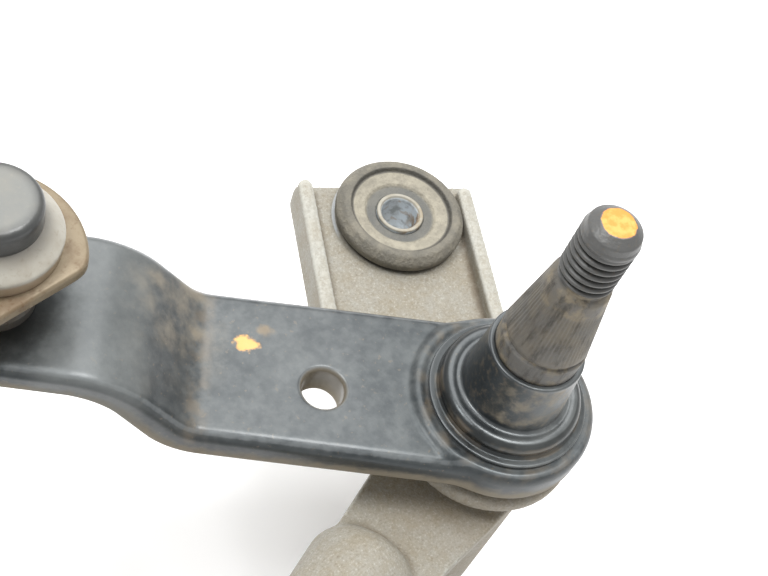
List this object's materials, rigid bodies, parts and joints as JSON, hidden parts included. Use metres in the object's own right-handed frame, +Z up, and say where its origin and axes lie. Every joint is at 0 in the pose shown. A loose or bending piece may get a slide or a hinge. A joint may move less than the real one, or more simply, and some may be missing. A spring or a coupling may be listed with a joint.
{
  "type": "windscreen wiper linkage",
  "caption": "Windscreen wiper linkage: threaded spindles in cast housings on a bent tube, with joggled levers, ball-jointed pressed rods and a motor bracket.",
  "frame": {"origin": "foot of the right fixing sleeve, on its axis", "axes": "+Z up the spindles towards the wiper arms, +X along the line of the pivots from left to right"},
  "size_m": [0.5393, 0.221, 0.0996],
  "materials": {
    "cast_aluminium": "dusty as-cast",
    "black_paint": "satin",
    "dull_steel": "dull",
    "bright_steel": "satin",
    "zinc_plate": "yellow passivated",
    "rubber": "dusty",
    "pale_plastic": "satin",
    "dark_plastic": "satin",
    "bronze": "sintered"
  },
  "bodies": {
    "frame": {"frame_tube": "black_paint", "motor_bracket": "black_paint", "right_housing": "cast_aluminium", "left_housing": "cast_aluminium", "right_grommet": "rubber", "left_grommet": "rubber", "motor_grommet": "rubber", "right_sleeve": "bright_steel", "left_sleeve": "bright_steel", "motor_sleeve": "bright_steel", "right_upper_bush": "bronze", "right_lower_bush": "bronze", "left_upper_bush": "bronze", "left_lower_bush": "bronze", "right_seal": "rubber", "left_seal": "rubber"},
    "right_lever": {"right_lever": "black_paint", "right_collar": "black_paint", "right_spindle": "dull_steel", "right_ball_stud": "bright_steel", "right_thrust_washer": "pale_plastic", "right_lower_washer": "bright_steel", "right_circlip": "dull_steel"},
    "left_lever": {"left_lever": "black_paint", "left_collar": "black_paint", "left_spindle": "dull_steel", "left_ball_stud": "bright_steel", "drive_ball_stud": "bright_steel", "left_thrust_washer": "pale_plastic", "left_lower_washer": "bright_steel", "left_circlip": "dull_steel"},
    "connecting_rod": {"connecting_rod": "zinc_plate", "rod_right_socket": "pale_plastic", "rod_right_cap": "dark_plastic", "rod_left_socket": "pale_plastic", "rod_left_cap": "dark_plastic"},
    "drive_rod": {"drive_rod": "zinc_plate", "drive_lever_socket": "pale_plastic", "drive_lever_cap": "dark_plastic", "drive_crank_socket": "pale_plastic", "drive_crank_cap": "dark_plastic"}
  },
  "joints": [
    {"name": "right_spindle_turn", "type": "hinge", "parent": "frame", "child": "right_lever", "pos_m": [-0.01912, -0.03764, 0.024], "axis": [0, 0, 1], "range_deg": [-90, 0]},
    {"name": "left_spindle_turn", "type": "hinge", "parent": "frame", "child": "left_lever", "pos_m": [-0.45912, -0.03764, 0.024], "axis": [0, 0, 1], "range_deg": [-90, 0]},
    {"name": "rod_ball_turn", "type": "hinge", "parent": "right_lever", "child": "connecting_rod", "pos_m": [-0.07206, 0.01348, 0.0456], "axis": [0, 0, 1], "range_deg": [0, 90]},
    {"name": "drive_ball_turn", "type": "hinge", "parent": "left_lever", "child": "drive_rod", "pos_m": [-0.42675, -0.0689, 0.0353], "axis": [0, 0, 1], "range_deg": [-12, 106]}
  ],
  "couplings": [
    {"joint": "left_spindle_turn", "follows": "right_spindle_turn", "ratio": 1},
    {"joint": "rod_ball_turn", "follows": "right_spindle_turn", "ratio": -1}
  ]
}
